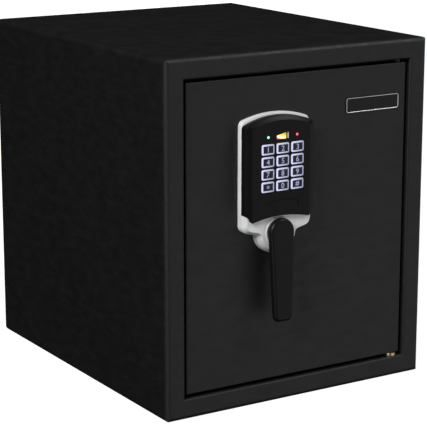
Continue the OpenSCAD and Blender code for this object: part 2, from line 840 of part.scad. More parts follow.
outer_shell();
back_panel();
jamb_frame();
cabinet_insulation();
inner_liner();
strike_plate();
strike_box();
hinge_brackets();
hinge_pins();
hinge_washer();
shelf_rails();
shelf();
door_panel();
door_insulation();
door_liner();
door_gasket();
hinge_plates();
nameplate();
keypad_bezel();
keypad_housing();
key_mat();
keypad_board();
green_led();
red_led();
level_window();
battery_tray();
batteries();
battery_contacts();
battery_cover();
handle_collar();
spindle_bushing();
lock_base_plate();
guide_posts();
solenoid_body();
door_cover();
cover_screws();
keypad_cable();
fixed_bolts();
handle_lever();
spindle();
lock_cam();
spindle_clip();
bolt_carrier();
locking_bolts();
carrier_pin();
solenoid_plunger();
plunger_spring();
key_1();
key_2();
key_3();
key_4();
key_5();
key_6();
key_7();
key_8();
key_9();
key_star();
key_0();
key_hash();
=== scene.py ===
"""Looks of a small insulated safe with a lit keypad and a lever handle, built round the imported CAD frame.

X runs right, Y runs away from a person facing the door, Z runs up, in metres. The outlines below are
drawn in millimetres about the handle's pivot and are turned into metres when a mesh is made."""

import math

import bmesh
import bpy
from mathutils import Matrix, Vector
from mathutils.geometry import delaunay_2d_cdt


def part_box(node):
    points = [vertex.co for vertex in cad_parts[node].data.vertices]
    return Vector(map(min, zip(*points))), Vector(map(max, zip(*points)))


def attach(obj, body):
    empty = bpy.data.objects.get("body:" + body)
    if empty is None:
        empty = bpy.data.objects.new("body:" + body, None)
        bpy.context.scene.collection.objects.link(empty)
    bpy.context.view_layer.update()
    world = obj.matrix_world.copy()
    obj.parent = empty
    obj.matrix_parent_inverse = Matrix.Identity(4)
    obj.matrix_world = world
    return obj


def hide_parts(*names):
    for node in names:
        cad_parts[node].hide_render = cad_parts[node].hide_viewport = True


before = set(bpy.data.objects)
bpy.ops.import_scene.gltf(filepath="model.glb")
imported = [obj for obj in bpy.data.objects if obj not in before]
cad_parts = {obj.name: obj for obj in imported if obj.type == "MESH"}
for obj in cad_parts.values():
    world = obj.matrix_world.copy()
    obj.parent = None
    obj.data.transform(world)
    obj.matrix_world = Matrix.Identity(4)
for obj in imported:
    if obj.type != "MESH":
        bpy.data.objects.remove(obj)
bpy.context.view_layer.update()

MM = 0.001
KEYS = ["1", "2", "3", "4", "5", "6", "7", "8", "9", "star", "0", "hash"]
LEGENDS = {"star": "*", "hash": "#"}


# ---------------------------------------------------------------- places, from the frame
def centre(node):
    low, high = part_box(node)
    return (low + high) / 2


PIVOT = centre("spindle")
DOOR_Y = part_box("door_panel")[0].y
NOSE_Y = (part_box("keypad_bezel")[0].y - DOOR_Y) / MM
FACE_Y = (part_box("keypad_housing")[0].y - DOOR_Y) / MM
RIM_Y = (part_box("outer_shell")[0].y - DOOR_Y) / MM


def spot(x, y, z):
    """A point given in millimetres from the handle's pivot and forward of the door's face."""
    return Vector((PIVOT.x + x * MM, DOOR_Y + y * MM, PIVOT.z + z * MM))


# ---------------------------------------------------------------- materials
def new_material(name, colour, rough, metal=0.0, specular=0.5, coat=0.0):
    mat = bpy.data.materials.new(name)
    mat.use_nodes = True
    shader = mat.node_tree.nodes["Principled BSDF"]
    shader.inputs["Base Color"].default_value = (*colour, 1)
    shader.inputs["Roughness"].default_value = rough
    shader.inputs["Metallic"].default_value = metal
    shader.inputs["Specular IOR Level"].default_value = specular
    shader.inputs["Coat Weight"].default_value = coat
    return mat, mat.node_tree, shader


def noise(tree, scale, detail=3.0, stretch=(1, 1, 1), rough=0.5):
    """A noise value in object space, so that it stays on the piece when the piece moves."""
    coords = tree.nodes.new("ShaderNodeTexCoord")
    mapping = tree.nodes.new("ShaderNodeMapping")
    mapping.inputs["Scale"].default_value = stretch
    tree.links.new(coords.outputs["Object"], mapping.inputs["Vector"])
    texture = tree.nodes.new("ShaderNodeTexNoise")
    texture.inputs["Scale"].default_value = scale
    texture.inputs["Detail"].default_value = detail
    texture.inputs["Roughness"].default_value = rough
    tree.links.new(mapping.outputs["Vector"], texture.inputs["Vector"])
    return texture.outputs["Fac"]


def spread(tree, value, low, high, start=0.3, end=0.7):
    """Maps a value from start..end to low..high."""
    mapped = tree.nodes.new("ShaderNodeMapRange")
    mapped.inputs["From Min"].default_value = start
    mapped.inputs["From Max"].default_value = end
    mapped.inputs["To Min"].default_value = low
    mapped.inputs["To Max"].default_value = high
    tree.links.new(value, mapped.inputs["Value"])
    return mapped.outputs["Result"]


def tint(tree, value, dark, light, start=0.3, end=0.7):
    """A colour that runs from dark to light as a value runs from start to end."""
    ramp = tree.nodes.new("ShaderNodeValToRGB")
    ramp.color_ramp.elements[0].position = start
    ramp.color_ramp.elements[0].color = (*dark, 1)
    ramp.color_ramp.elements[1].position = end
    ramp.color_ramp.elements[1].color = (*light, 1)
    tree.links.new(value, ramp.inputs["Fac"])
    return ramp.outputs["Color"]


def bump(tree, shader, value, strength, distance):
    node = tree.nodes.new("ShaderNodeBump")
    node.inputs["Strength"].default_value = strength
    node.inputs["Distance"].default_value = distance
    tree.links.new(value, node.inputs["Height"])
    tree.links.new(node.outputs["Normal"], shader.inputs["Normal"])


def shade(colour, factor):
    return tuple(c * factor for c in colour)


def powder_coat(name, colour, rough, specular):
    """Satin powder coat: fine orange peel, slow changes of gloss and a few rubbed patches."""
    mat, tree, shader = new_material(name, colour, rough, specular=specular)
    slow = noise(tree, 7, 4)
    peel = noise(tree, 1500, 2)
    rub = noise(tree, 40, 6, (1, 1, 2.5), 0.65)
    tree.links.new(tint(tree, slow, shade(colour, 0.85), shade(colour, 1.2)), shader.inputs["Base Color"])
    tree.links.new(spread(tree, rub, rough - 0.05, rough + 0.08, 0.35, 0.7), shader.inputs["Roughness"])
    bump(tree, shader, peel, 0.16, 0.0001)
    return mat


def moulded(name, colour, rough, specular, grain=2200, depth=0.25):
    """Moulded plastic with a fine spark-eroded grain."""
    mat, tree, shader = new_material(name, colour, rough, specular=specular)
    slow = noise(tree, 18, 3)
    fine = noise(tree, grain, 2)
    tree.links.new(tint(tree, slow, shade(colour, 0.85), shade(colour, 1.18)), shader.inputs["Base Color"])
    tree.links.new(spread(tree, fine, rough - 0.06, rough + 0.08), shader.inputs["Roughness"])
    bump(tree, shader, fine, depth, 0.00008)
    return mat


def brushed(name, colour, rough, along=(1, 1, 60)):
    """Metal with fine lines in one direction and slight stains."""
    mat, tree, shader = new_material(name, colour, rough, metal=1.0)
    lines = noise(tree, 60, 4, along, 0.6)
    stain = noise(tree, 30, 5)
    tree.links.new(tint(tree, stain, shade(colour, 0.82), colour), shader.inputs["Base Color"])
    tree.links.new(spread(tree, lines, rough - 0.08, rough + 0.12), shader.inputs["Roughness"])
    bump(tree, shader, lines, 0.12, 0.00005)
    return mat


def silver_paint(name, colour):
    """Metallic paint with a faint flake."""
    mat, tree, shader = new_material(name, colour, 0.4, metal=0.12, specular=0.5, coat=0.2)
    flake = noise(tree, 4500, 1)
    slow = noise(tree, 25, 3)
    tree.links.new(tint(tree, slow, shade(colour, 0.93), shade(colour, 1.05)), shader.inputs["Base Color"])
    tree.links.new(spread(tree, flake, 0.3, 0.45), shader.inputs["Roughness"])
    bump(tree, shader, flake, 0.05, 0.00003)
    return mat


def rubbery(name, colour):
    mat, tree, shader = new_material(name, colour, 0.7, specular=0.25)
    dust = noise(tree, 90, 5)
    fine = noise(tree, 1400, 3)
    tree.links.new(tint(tree, dust, colour, shade(colour, 1.7), 0.4, 0.8), shader.inputs["Base Color"])
    tree.links.new(spread(tree, dust, 0.6, 0.8), shader.inputs["Roughness"])
    bump(tree, shader, fine, 0.3, 0.0001)
    return mat


def cast_fill(name, colour):
    """Lightweight cast insulation with pores."""
    mat, tree, shader = new_material(name, colour, 0.9, specular=0.1)
    pores = noise(tree, 260, 6, rough=0.7)
    patches = noise(tree, 22, 4)
    tree.links.new(tint(tree, patches, shade(colour, 0.8), shade(colour, 1.1)), shader.inputs["Base Color"])
    bump(tree, shader, pores, 0.7, 0.0006)
    return mat


def glowing(name, colour, glow, strength, fade=1.0):
    """A lit lens or legend: a moulded colour with light of its own, uneven as a back light is. It may
    fade towards the right side of each piece."""
    mat, tree, shader = new_material(name, colour, 0.3)
    uneven = noise(tree, 420, 2)
    light = tint(tree, uneven, shade(glow, 0.8), glow, 0.35, 0.65)
    coords = tree.nodes.new("ShaderNodeTexCoord")
    split = tree.nodes.new("ShaderNodeSeparateXYZ")
    tree.links.new(coords.outputs["Generated"], split.inputs["Vector"])
    dim = tree.nodes.new("ShaderNodeVectorMath")
    dim.operation = "SCALE"
    tree.links.new(light, dim.inputs[0])
    tree.links.new(spread(tree, split.outputs["X"], 1.0, fade, 0.1, 0.9), dim.inputs["Scale"])
    tree.links.new(dim.outputs["Vector"], shader.inputs["Emission Color"])
    shader.inputs["Emission Strength"].default_value = strength
    bump(tree, shader, noise(tree, 1500, 2), 0.1, 0.00005)
    return mat


BLACK = (0.0032, 0.0032, 0.0034)
M = {
    "coat": powder_coat("black_powder_coat", BLACK, 0.55, 0.42),
    "lever": powder_coat("lever_black", (0.004, 0.004, 0.0043), 0.38, 0.15),
    "plastic": moulded("black_plastic_grain", (0.0045, 0.0045, 0.0048), 0.36, 0.12),
    "liner": moulded("liner_plastic_grain", (0.045, 0.046, 0.05), 0.55, 0.4, 1500, 0.35),
    "silver": silver_paint("silver_paint_flake", (0.74, 0.75, 0.745)),
    "bright": brushed("bright_turned_metal", (0.7, 0.7, 0.72), 0.3, (40, 1, 40)),
    "collar": silver_paint("collar_satin_metal", (0.62, 0.63, 0.63)),
    "steel": brushed("brushed_steel_lines", (0.55, 0.56, 0.58), 0.34),
    # The hinge pins get a very dark colour as painted shade, so that the pin in the top of the door's gap
    # stays as dark as the shaded gap.
    "pin": brushed("pin_painted_shade_lines", (0.045, 0.045, 0.05), 0.4),
    "bolt": brushed("bolt_steel_lines", (0.68, 0.68, 0.7), 0.22, (1, 50, 50)),
    "brass": brushed("brass_lines", (0.72, 0.56, 0.27), 0.3),
    "rubber": rubbery("gasket_rubber_bloom", (0.02, 0.02, 0.021)),
    "fill": cast_fill("cast_fill_pores", (0.62, 0.6, 0.55)),
    "enamel": powder_coat("plate_enamel_peel", (0.004, 0.004, 0.0045), 0.3, 0.2),
    "board": moulded("board_lacquer", (0.02, 0.12, 0.05), 0.35, 0.5, 900, 0.15),
    "mat": rubbery("key_mat_silicone", (0.5, 0.52, 0.6)),
    "cell": moulded("cell_sleeve", (0.1, 0.11, 0.14), 0.3, 0.5, 700, 0.1),
    "wrap": moulded("solenoid_tape", (0.07, 0.07, 0.08), 0.45, 0.4, 500, 0.3),
    "cable": rubbery("cable_jacket_rubber", (0.06, 0.06, 0.065)),
    "key": moulded("key_cap_navy", (0.006, 0.006, 0.018), 0.3, 0.3, 1800, 0.1),
    "halo": glowing("key_rim_glow", (0.2, 0.2, 0.3), (0.66, 0.66, 0.92), 0.9, fade=0.45),
    "digit": glowing("key_digit_glow", (0.2, 0.2, 0.3), (0.5, 0.5, 0.75), 0.5),
    "green": glowing("green_lens_glow", (0.2, 0.8, 0.6), (0.45, 0.95, 0.75), 1.0),
    "red": glowing("red_lens_glow", (0.8, 0.1, 0.15), (0.9, 0.12, 0.24), 0.9),
    "bar": glowing("level_bar_glow", (0.6, 0.6, 0.55), (0.7, 0.58, 0.5), 0.45),
}


# ---------------------------------------------------------------- mesh helpers
def arc(cx, cz, r, start, end, steps=12):
    """Points on an arc, from angle start to angle end in degrees."""
    turns = [math.radians(start + (end - start) * i / steps) for i in range(steps + 1)]
    return [(cx + r * math.cos(a), cz + r * math.sin(a)) for a in turns]


def rounded(w, h, r, cx=0.0, cz=0.0, steps=6):
    """A rectangle with round corners, anticlockwise from its lower right corner."""
    x, z = w / 2 - r, h / 2 - r
    corners = [(x, -z, 270), (x, z, 0), (-x, z, 90), (-x, -z, 180)]
    points = []
    for px, pz, start in corners:
        points += arc(cx + px, cz + pz, r, start, start + 90, steps)
    return points


def inset(loop, distance):
    """The loop moved inwards by a distance, for an anticlockwise loop."""
    moved = []
    count = len(loop)
    for i, (x, z) in enumerate(loop):
        before = Vector((x - loop[i - 1][0], z - loop[i - 1][1])).normalized()
        after = Vector((loop[(i + 1) % count][0] - x, loop[(i + 1) % count][1] - z)).normalized()
        way = (before + after).normalized()
        lean = max(0.35, way.dot(after))
        moved.append((x - way.y * distance / lean, z + way.x * distance / lean))
    return moved


def clean(loop, gap=1e-3):
    """Drops points that lie on the point before them."""
    kept = [p for i, p in enumerate(loop) if math.dist(p, loop[i - 1]) > gap]
    return kept


def ring(loop, y):
    return [spot(x, y, z) for x, z in loop]


class Shape:
    """Collects vertices and faces, then becomes an object."""

    def __init__(self):
        self.points, self.faces, self.kinds = [], [], []

    def add_ring(self, points):
        start = len(self.points)
        self.points += [Vector(p) for p in points]
        return list(range(start, len(self.points)))

    def skin(self, a, b, kind=0):
        count = len(a)
        for i in range(count):
            j = (i + 1) % count
            self.face([a[i], a[j], b[j], b[i]], kind)

    def face(self, indices, kind=0):
        self.faces.append(indices)
        self.kinds.append(kind)

    def loft(self, rings, start=True, end=True, kind=0):
        """Skins rings of the same length, with flat ends if asked."""
        made = [self.add_ring(r) for r in rings]
        for a, b in zip(made, made[1:]):
            self.skin(a, b, kind)
        if start:
            self.face(made[0][::-1], kind)
        if end:
            self.face(made[-1], kind)
        return made

    def plate(self, outer, holes):
        """A flat plate with holes, square to Y, on rings that are already there."""
        loops = [outer, *holes]
        y = self.points[outer[0]].y
        flat, ids = [], []
        for loop in loops:
            for i in loop:
                flat.append(Vector((self.points[i].x, self.points[i].z)))
                ids.append(i)
        edges, start = [], 0
        for loop in loops:
            edges += [(start + i, start + (i + 1) % len(loop)) for i in range(len(loop))]
            start += len(loop)
        scale = [v * 1000 for v in flat]
        made = delaunay_2d_cdt(scale, edges, [], 1, 1e-5)
        new = {}
        for k, origin in enumerate(made[3]):
            if origin:
                new[k] = ids[origin[0]]
            else:
                self.points.append(Vector((made[0][k].x / 1000, y, made[0][k].y / 1000)))
                new[k] = len(self.points) - 1
        shapes = [[(self.points[i].x, self.points[i].z) for i in loop] for loop in holes]
        for tri in made[2]:
            mid = sum((made[0][k] for k in tri), Vector((0, 0))) / len(tri) / 1000
            if not any(inside(mid, s) for s in shapes):
                self.face([new[k] for k in tri])

    def make(self, name, body, materials, nodes, smooth=32):
        """Turns the shape into an object that rides on a body and stands in for CAD nodes."""
        mesh = bpy.data.meshes.new(name)
        mesh.from_pydata([tuple(p) for p in self.points], [], self.faces)
        for m in materials:
            mesh.materials.append(M[m])
        for poly, kind in zip(mesh.polygons, self.kinds):
            poly.material_index = kind
        work = bmesh.new()
        work.from_mesh(mesh)
        bmesh.ops.remove_doubles(work, verts=work.verts, dist=1e-7)
        bmesh.ops.recalc_face_normals(work, faces=work.faces)
        work.to_mesh(mesh)
        work.free()
        mesh.shade_smooth()
        mesh.set_sharp_from_angle(angle=math.radians(smooth))
        obj = bpy.data.objects.new(name, mesh)
        bpy.context.scene.collection.objects.link(obj)
        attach(obj, body)
        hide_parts(*nodes)


def inside(p, loop):
    hit = False
    for (x1, z1), (x2, z2) in zip(loop, loop[1:] + loop[:1]):
        if (z1 > p.y) != (z2 > p.y) and p.x < (x2 - x1) * (p.y - z1) / (z2 - z1) + x1:
            hit = not hit
    return hit


def lathe(shape, profile, cx, cz, steps):
    """Turns (radius, depth) pairs about an axis along Y, with flat ends."""
    shape.loft([ring(arc(cx, cz, r, 0, 360 - 360 / steps, steps - 1), y) for r, y in profile])


# ---------------------------------------------------------------- keypad outlines, in mm from the pivot
HALF = 44.9  # half the bezel's width
APEX = 133.2  # height of the bezel's arched top, and its radius
ARCH_R = 128.0
BASE_Y = -6.3  # front of the bezel's plate, where the housing's wall starts
CORNER_R = 9.5  # the bezel's lower corners, and how high above the pivot their centres are
CORNER_Z = 10.0
SLOPE = 13.5  # fall of the shoulders, in degrees
LOBE_R = 25.4  # the round lobe under the handle, and its fillets with the shoulders
FILLET_R = 3.0
HOUSING_HALF = 44.7  # the housing's wall: half width and top
HOUSING_APEX = 131.0
WALL_Y = -14.9  # where the housing's wall ends and its bevel starts
BEVEL_SIDE = 6.7  # width of the bevel at the sides and at the top
BEVEL_TOP = 4.8
FOOT_APEX = 19.4  # the housing's lower edge: height and radius of its arch
FOOT_R = 147.0
FOOT_EDGE = 37.4  # where the arch ends, and the soft step up from there as (distance out, height)
FOOT_STEPS = [(37.4, -4.9), (39.2, -2.9), (40.6, 1.0), (45.4, 3.8), (60.0, 3.8)]
KEY_CORNER = 1.8
KEY_GAP = 0.3

# Places across a lower edge from -1 to 1, closer together near the ends.
SHARES = [-1 + 0.2 * i / 14 for i in range(14)] + [-0.8 + 1.6 * i / 28 for i in range(28)]
SHARES += [0.8 + 0.2 * i / 14 for i in range(15)]


def arch_top(half, apex, r, corner, steps=28):
    """The arched top edge from right to left, with round corners."""
    cz = apex - r
    kx = half - corner
    kz = cz + math.sqrt((r - corner) ** 2 - kx * kx)
    a = math.degrees(math.asin(kx / (r - corner)))
    right = arc(kx, kz, corner, 0, 90 - a, 8)
    top = arc(0, cz, r, 90 - a, 90 + a, steps)
    left = arc(-kx, kz, corner, 90 + a, 180, 8)
    return right + top + left


def lower_edge(d):
    """The sloping shoulders and the round lobe under the handle, from left to right, taken in by d.
    The corners' radius shrinks by only half of d, so that the nose's front has rounder corners."""
    lobe_r, fillet_r, corner_r, slope = LOBE_R - d, FILLET_R + d, CORNER_R - 0.5 * d, math.radians(SLOPE)
    corner = Vector((-HALF + CORNER_R + 0.5 * d, CORNER_Z + 0.5 * d))
    way = Vector((math.cos(slope), -math.sin(slope)))
    out = Vector((way.y, -way.x))
    start = corner + out * (corner_r + fillet_r)
    back = start.dot(way)
    reach = -back - math.sqrt(back * back - start.length_squared + (lobe_r + fillet_r) ** 2)
    fx, fz = start + way * reach
    turn = math.degrees(math.atan2(-fz, -fx))
    left = arc(corner.x, corner.y, corner_r, 180, 270 - SLOPE, 10)
    left += arc(fx, fz, fillet_r, 90 - SLOPE, turn, 8)
    lobe = arc(0, 0, lobe_r, 180 + turn, 360 - turn, 48)
    right = arc(-fx, fz, fillet_r, 180 - turn, 90 + SLOPE, 8)
    right += arc(-corner.x, corner.y, corner_r, 270 + SLOPE, 360, 10)
    return left + lobe + right


def steps_up(x):
    """Height of the soft step beyond the arch's end, against the arch's apex."""
    for (x0, z0), (x1, z1) in zip(FOOT_STEPS, FOOT_STEPS[1:]):
        if x <= x1:
            return z0 + (z1 - z0) * (x - x0) / (x1 - x0)
    return z1


def foot(x):
    """Height of the housing's lower edge: arched, with a soft step up at each side. It is the mean of
    nine places near x, which rounds the step's corners."""
    total = 0
    for i in range(-4, 5):
        at = abs(x) + 0.22 * i
        fall = math.sqrt(FOOT_R * FOOT_R - at * at) - FOOT_R
        total += FOOT_APEX + (fall if at < FOOT_EDGE else steps_up(at))
    return total / 9


def bezel_ring(d, y):
    return ring(lower_edge(d) + arch_top(HALF - d, APEX - d, ARCH_R - d, 7 - d), y)


def nose_ring(d, y):
    half = HALF - d
    return ring(lower_edge(d) + [(half * u, foot(half * u) - 0.15) for u in SHARES[::-1]], y)


def make_bezel():
    """A plate under the housing, and a thicker nose with a tapering wall round the handle."""
    shape = Shape()
    shape.loft([bezel_ring(0, 0), bezel_ring(0, BASE_Y + 1.1), bezel_ring(0.2, BASE_Y + 0.5),
                bezel_ring(0.55, BASE_Y + 0.14), bezel_ring(1.0, BASE_Y)])
    shape.loft([nose_ring(0.01, -5), nose_ring(0.01, -7.9), nose_ring(0.25, -8.3), nose_ring(1.2, -10.4),
                nose_ring(2.2, -12.4), nose_ring(2.95, -13.9), nose_ring(3.1, NOSE_Y + 0.22),
                nose_ring(3.3, NOSE_Y + 0.05), nose_ring(3.7, NOSE_Y), nose_ring(4.2, NOSE_Y)])
    shape.make("bezel", "door", ["silver"], ["keypad_bezel"], 24)


def housing_ring(t, y, lift=0.0):
    """The housing's outline, from its wall (t = 0) up the bevel to its face (t = 1)."""
    half = HOUSING_HALF - BEVEL_SIDE * t
    base = [(half * u, foot(half * u) + lift) for u in SHARES]
    return ring(base + arch_top(half, HOUSING_APEX - BEVEL_TOP * t, 106 - 3 * t, 6 - 1.8 * t), y)


def place(node):
    """A node's middle and size across the door, in millimetres from the handle's pivot."""
    low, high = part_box(node)
    cx, cz = ((low.x + high.x) / 2 - PIVOT.x) / MM, ((low.z + high.z) / 2 - PIVOT.z) / MM
    return cx, cz, (high.x - low.x) / MM, (high.z - low.z) / MM


def key_outline(node, grow=0.0):
    cx, cz, w, h = place(node)
    return rounded(w + 2 * grow, h + 2 * grow, KEY_CORNER + grow, cx, cz)


def cover_loop(grow):
    """The battery cover's outline: straight sides and top over an arched lower edge."""
    half = 29 + grow
    base = [(-half + 2 * half * i / 24, foot(-half + 2 * half * i / 24) + 1.6 - grow) for i in range(25)]
    top = 45.8 + grow
    return base + arc(half - 1.5, top - 1.5, 1.5, 0, 90, 5) + arc(-half + 1.5, top - 1.5, 1.5, 90, 180, 5)


def make_housing():
    """The moulded housing: a straight wall, a broad bevel and a flat face with its openings."""
    shape = Shape()
    bevel = [i / 12 for i in range(13)]
    rings = [housing_ring(0.05, BASE_Y), housing_ring(0.01, BASE_Y - 0.3), housing_ring(0, BASE_Y - 1),
             housing_ring(0, WALL_Y), housing_ring(0.02, WALL_Y - 0.45)]
    rings += [housing_ring(0.08 + 0.84 * u, WALL_Y - 0.75 - 2.6 * u ** 0.92) for u in bevel]
    rings += [housing_ring(0.96, -18.4, 0.05), housing_ring(1.0, -18.48, 0.2),
              housing_ring(1.05, FACE_Y, 0.5)]
    outer = shape.loft(rings, start=True, end=False)
    loops = [key_outline("key_" + k, KEY_GAP) for k in KEYS]
    window_x, window_z = place("level_window")[:2]
    loops.append(rounded(17, 8, 1.2, window_x, window_z))
    for lamp in ("green_led", "red_led"):
        lamp_x, lamp_z = place(lamp)[:2]
        loops.append(arc(lamp_x, lamp_z, 1.65, 0, 337.5, 15))
    loops.append(clean(cover_loop(0.2)))
    holes = []
    for loop in loops:
        rims = [ring(inset(loop, -0.2), FACE_Y), ring(loop, FACE_Y + 0.2), ring(loop, FACE_Y + 2.5)]
        made = shape.loft(rims, start=False, end=True)
        holes.append(made[0])
    shape.plate(outer[-1], holes)
    shape.make("housing", "door", ["plastic"], ["keypad_housing"], 35)


def make_battery_cover():
    """A lid with a shallow arch-topped thumb recess."""
    shape = Shape()
    loop = clean(cover_loop(0))
    rings = shape.loft([ring(inset(loop, 0.3), -16.9), ring(loop, -17.1), ring(loop, FACE_Y + 0.2),
                        ring(inset(loop, 0.2), FACE_Y)], start=True, end=False)
    half, shift, base = 21, 2.5, 22.4
    arch = [(shift - half, base), (shift + half, base)]
    arch = clean(arch + [(x + shift, z) for x, z in arch_top(half, 38.2, 60, 3.5, 20)])
    dish = shape.loft([ring(arch, FACE_Y), ring(inset(arch, 0.3), FACE_Y + 0.08),
                       ring(inset(arch, 0.9), FACE_Y + 0.4), ring(inset(arch, 1.3), FACE_Y + 0.5),
                       ring(inset(arch, 2.6), FACE_Y + 0.55), ring(inset(arch, 2.9), FACE_Y + 0.55)],
                      start=False, end=True)
    shape.plate(rings[-1], [dish[0]])
    shape.make("battery_lid", "battery_cover", ["plastic"], ["battery_cover"], 40)


def make_key(name):
    """A cap with a lit rim round a dark face, and its lit legend."""
    node = "key_" + name
    loop = key_outline(node)
    front = (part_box(node)[0].y - DOOR_Y) / MM
    shape = Shape()
    made = shape.loft([ring(loop, -14.5), ring(loop, front + 0.9)], start=True, end=False)
    rim = [made[-1]] + [shape.add_ring(ring(inset(loop, d), front + y))
                        for d, y in ((0, 0.45), (0.16, 0.15), (0.45, 0.0), (1.75, 0.0), (1.95, 0.22))]
    for i in range(4):
        shape.skin(rim[i], rim[i + 1], 1)
    shape.skin(rim[4], rim[5], 0)
    shape.face(rim[5], 0)
    shape.make("cap_" + name, node, ["key", "halo"], [node], 35)
    make_digit(name, node, front + 0.2)


def make_digit(name, node, y):
    """A key's legend as a thin raised mesh, centred on its cap."""
    text = bpy.data.curves.new("digit_" + name, "FONT")
    text.body = LEGENDS.get(name, name)
    text.size = 8.4 * MM
    text.extrude = 0.12 * MM
    text.offset = 0.07 * MM
    text.resolution_u = 4
    text.align_x = "CENTER"
    text.align_y = "CENTER"
    carrier = bpy.data.objects.new("text_" + name, text)
    bpy.context.scene.collection.objects.link(carrier)
    bpy.context.view_layer.update()
    mesh = bpy.data.meshes.new_from_object(carrier.evaluated_get(bpy.context.evaluated_depsgraph_get()))
    bpy.data.objects.remove(carrier)
    xs = [v.co.x for v in mesh.vertices]
    ys = [v.co.y for v in mesh.vertices]
    mid_x, mid_y = (min(xs) + max(xs)) / 2, (min(ys) + max(ys)) / 2
    cx, cz = place(node)[:2]
    at = spot(cx, y, cz)
    for v in mesh.vertices:
        v.co = Vector((at.x + v.co.x - mid_x, at.y - v.co.z, at.z + v.co.y - mid_y))
    mesh.materials.clear()
    mesh.materials.append(M["digit"])
    digit = bpy.data.objects.new("digit_" + name, mesh)
    bpy.context.scene.collection.objects.link(digit)
    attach(digit, node)


def wedge_material():
    """The level gauge's colour: red along its foot, white at the low end, yellow at the high end."""
    mat, tree, shader = new_material("level_wedge_glow", (0.8, 0.6, 0.3), 0.3)
    low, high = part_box("level_window")
    coords = tree.nodes.new("ShaderNodeTexCoord")
    split = tree.nodes.new("ShaderNodeSeparateXYZ")
    tree.links.new(coords.outputs["Object"], split.inputs["Vector"])
    along = spread(tree, split.outputs["X"], 0.0, 0.4, low.x, high.x)
    up = spread(tree, split.outputs["Z"], 0.0, 0.6, low.z, high.z)
    total = tree.nodes.new("ShaderNodeMath")
    total.operation = "ADD"
    tree.links.new(along, total.inputs[0])
    tree.links.new(up, total.inputs[1])
    ramp = tree.nodes.new("ShaderNodeValToRGB")
    stops = [(0.0, (0.75, 0.01, 0.01)), (0.17, (0.8, 0.03, 0.01)), (0.27, (1.0, 0.68, 0.45)),
             (0.38, (0.95, 0.8, 0.42)), (0.52, (0.8, 0.52, 0.06)), (0.85, (0.42, 0.27, 0.02))]
    for i, (at, colour) in enumerate(stops):
        element = ramp.color_ramp.elements[i] if i < 2 else ramp.color_ramp.elements.new(at)
        element.position = at
        element.color = (*colour, 1)
    tree.links.new(total.outputs[0], ramp.inputs["Fac"])
    tree.links.new(ramp.outputs["Color"], shader.inputs["Emission Color"])
    tree.links.new(ramp.outputs["Color"], shader.inputs["Base Color"])
    shader.inputs["Emission Strength"].default_value = 1.0
    bump(tree, shader, noise(tree, 900, 2), 0.1, 0.00005)
    return mat


M["wedge"] = wedge_material()


def make_window():
    """A shallow recess with the level wedge, its end bar and a dark floor."""
    cx, cz = place("level_window")[:2]
    shape = Shape()
    floor = rounded(16.9, 7.9, 1.1, cx, cz)
    shape.loft([ring(floor, -15.9), ring(floor, -16.6)], kind=0)
    wedge = [(cx - 6.8, cz - 3.3), (cx + 5.0, cz - 3.3), (cx + 5.0, cz + 3.4), (cx - 6.8, cz + 0.6)]
    shape.loft([ring(wedge, -16.5), ring(wedge, -17.3), ring(inset(wedge, 0.2), -17.5)], kind=1)
    bar = rounded(0.7, 6.6, 0.2, cx + 7.6, cz, 2)
    shape.loft([ring(bar, -16.5), ring(bar, -17.6)], kind=2)
    shape.make("level_gauge", "door", ["plastic", "wedge", "bar"], ["level_window"])


def make_lamps():
    for node, kind in (("green_led", "green"), ("red_led", "red")):
        cx, cz = place(node)[:2]
        dome = [(1.4, -12.0), (1.4, FACE_Y - 0.05)]
        dome += [(1.4 * math.cos(math.radians(a)), FACE_Y - 0.05 - 0.7 * math.sin(math.radians(a)))
                 for a in (15, 30, 45, 60, 75)] + [(0.12, FACE_Y - 0.75)]
        shape = Shape()
        lathe(shape, dome, cx, cz, 24)
        shape.make(kind + "_lamp", "door", [kind], [node])


LEAN = math.radians(2.3)  # the blade's lean away from the door towards its tip
TANGENT = 2.31  # how far the blade's sides turn from upright, in degrees
HEAD_R = 16.0
TIP_R = 7.0
TIP_X = 5.2
TIP_Z = -94.4


def lever_ring(d, y):
    """The lever's outline taken in by d, at depth y behind the rim, on a blade that leans outwards."""
    loop = arc(-TIP_X, TIP_Z, TIP_R - d, 180 + TANGENT, 270, 10)
    loop += arc(TIP_X, TIP_Z, TIP_R - d, 270, 360 - TANGENT, 10)
    loop += arc(0, 0, HEAD_R - d, -TANGENT, 180 + TANGENT, 56)
    return [spot(x, RIM_Y + y * math.cos(LEAN) + z * math.sin(LEAN), z * math.cos(LEAN) - y * math.sin(LEAN))
            for x, z in loop]


def make_lever():
    """A blunt tapered blade with a round head and well rounded front edges, on a straight hub."""
    shape = Shape()
    shape.loft([lever_ring(d, y) for d, y in (
        (1.4, -13.42), (0.6, -13.5), (0.15, -13.8), (0, -14.4), (0, -16.4), (0.12, -17.2), (0.5, -18.2),
        (1.1, -19.1), (1.9, -19.75), (2.9, -20.15), (4.2, -20.35), (5.6, -20.4))])
    lathe(shape, [(9.7, -1.2), (9.7, -16.6)], 0, 0, 48)
    shape.make("lever", "handle", ["lever"], ["handle_lever"], 40)


def make_collar():
    """The thin turned ring round the lever's head."""
    shape = Shape()
    profile = [(17.8, -14.45), (17.8, -15.1), (17.6, -15.5), (17.2, -15.75), (16.7, -15.85), (16.2, -15.8),
               (15.8, -15.6), (15.3, -15.5), (15.3, -14.45)]
    rings = [ring(arc(0, 0, r, 0, 356.25, 95), y) for r, y in profile]
    shape.loft(rings + [rings[0]], start=False, end=False)
    shape.make("collar", "door", ["collar"], ["handle_collar"], 50)


